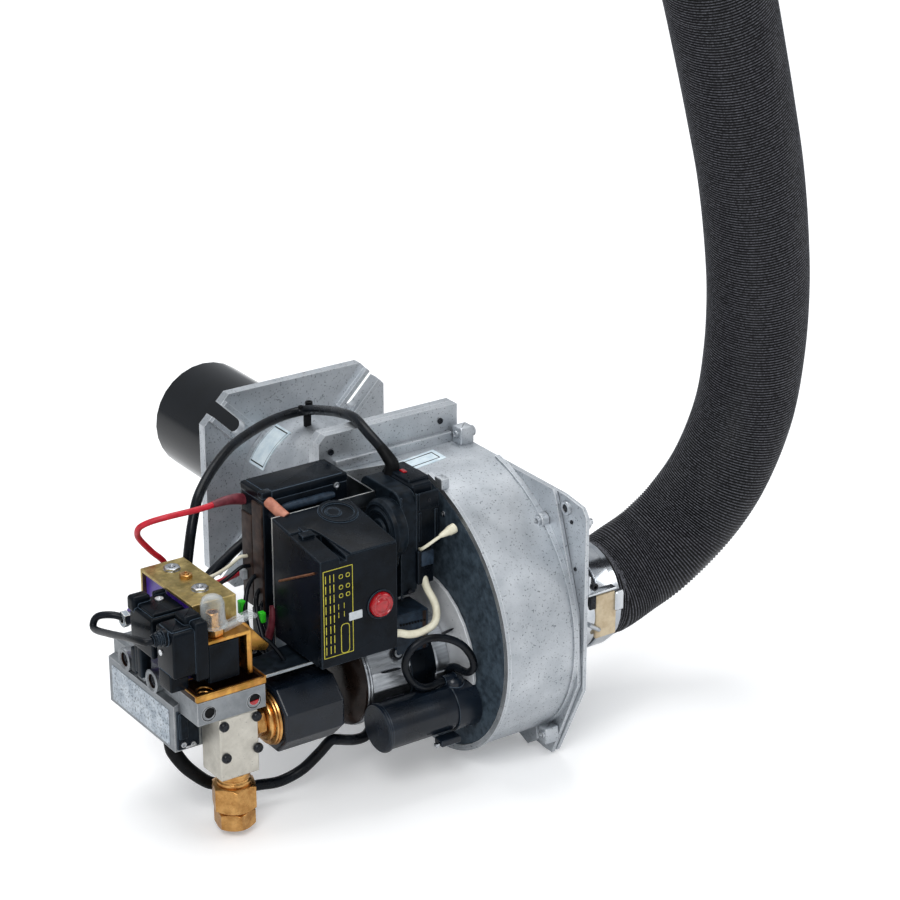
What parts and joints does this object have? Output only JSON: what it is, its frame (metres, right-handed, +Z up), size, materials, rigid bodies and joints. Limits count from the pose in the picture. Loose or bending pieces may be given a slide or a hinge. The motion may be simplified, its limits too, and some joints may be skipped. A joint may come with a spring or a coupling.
{
  "type": "industrial gas burner",
  "caption": "Forced-draught gas burner: scroll fan housing with motor, blast tube on a mounting flange, solenoid gas train and air intake hose.",
  "frame": {"origin": "the blast tube's axis in the plane where the mounting flange meets the boiler", "axes": "+Y runs into the boiler along the blast tube, +X along the fan shaft away from the motor, +Z up"},
  "size_m": [0.6845, 0.627, 0.8178],
  "materials": {
    "cast": "as cast, bare",
    "machined": "milled",
    "tube_paint": "black paint",
    "steel": "plain",
    "zinc": "zinc plated sheet",
    "yellow_zinc": "yellow zinc plated",
    "brass": "turned",
    "cover_paint": "textured dark",
    "bell_paint": "dark brown",
    "black_plastic": "black",
    "dark_plastic": "black",
    "violet_plastic": "violet",
    "red_plastic": "red",
    "clear_plastic": "clear",
    "salmon_plastic": "salmon",
    "rubber": "black",
    "red_rubber": "red",
    "cream_rubber": "cream",
    "ceramic": "glazed white"
  },
  "bodies": {
    "burner": {"mounting_flange": "cast", "burner_neck": "cast", "volute_housing": "cast", "motor_flange": "cast", "inlet_plate_inner": "cast", "inlet_plate_outer": "cast", "suction_box": "cast", "inlet_spigot": "cast", "gas_valve_body": "cast", "regulator_box": "cast", "inlet_block": "machined", "blast_tube": "tube_paint", "motor_side_cover": "cover_paint", "motor_body": "steel", "motor_end_bell": "bell_paint", "hose_clamp": "steel", "mounting_bracket": "zinc", "rear_yoke": "yellow_zinc", "front_yoke": "yellow_zinc", "regulator_rim": "yellow_zinc", "union_body": "brass", "union_nut": "brass", "side_coil_nut": "brass", "test_nipple": "brass", "gas_pipe": "steel", "gas_head_pipe": "steel", "flame_diffuser": "steel", "ignition_electrode": "ceramic", "ionisation_electrode": "ceramic", "air_hose": "rubber", "duct_cuff": "dark_plastic", "capacitor": "black_plastic", "motor_terminal_block": "dark_plastic", "control_box": "black_plastic", "ignition_transformer": "black_plastic", "spacer_sleeve": "salmon_plastic", "switch_frame": "dark_plastic", "switch_membrane_housing": "dark_plastic", "switch_cover": "dark_plastic", "rear_coil_1": "violet_plastic", "rear_coil_2": "violet_plastic", "rear_connector": "dark_plastic", "front_connector": "dark_plastic", "front_coil": "dark_plastic", "side_coil": "dark_plastic", "clear_cap": "clear_plastic", "switch_cable": "rubber", "ignition_cable": "red_rubber", "motor_cable": "cream_rubber", "valve_cable": "rubber", "capacitor_cable": "rubber", "connector_cable": "rubber"},
    "fan_rotor": {"impeller": "steel", "motor_shaft": "steel"},
    "reset_button": {"reset_button": "red_plastic"},
    "air_damper": {"air_damper": "zinc"},
    "rear_armature_1": {"rear_armature_1": "steel"},
    "rear_armature_2": {"rear_armature_2": "steel"},
    "front_armature": {"front_armature": "steel"},
    "side_armature": {"side_armature": "steel"}
  },
  "joints": [
    {"name": "fan_spin", "type": "hinge", "parent": "burner", "child": "fan_rotor", "pos_m": [0, -0.2243, -0.098], "axis": [1, 0, 0], "continuous": true},
    {"name": "button_press", "type": "slide", "parent": "burner", "child": "reset_button", "axis": [0, 1, 0], "range_m": [0, 0.003], "stiffness_N_per_m": 300},
    {"name": "damper_turn", "type": "hinge", "parent": "burner", "child": "air_damper", "pos_m": [0.1542, -0.2243, -0.09], "axis": [0, 0, 1], "range_deg": [0, 90]},
    {"name": "rear_valve_1_lift", "type": "slide", "parent": "burner", "child": "rear_armature_1", "axis": [0, 0, 1], "range_m": [0, 0.004], "stiffness_N_per_m": 150},
    {"name": "rear_valve_2_lift", "type": "slide", "parent": "burner", "child": "rear_armature_2", "axis": [0, 0, 1], "range_m": [0, 0.004], "stiffness_N_per_m": 150},
    {"name": "front_valve_lift", "type": "slide", "parent": "burner", "child": "front_armature", "axis": [0, 0, 1], "range_m": [0, 0.003], "stiffness_N_per_m": 150},
    {"name": "side_valve_pull", "type": "slide", "parent": "burner", "child": "side_armature", "axis": [1, 0, 0], "range_m": [0, 0.003], "stiffness_N_per_m": 150}
  ]
}
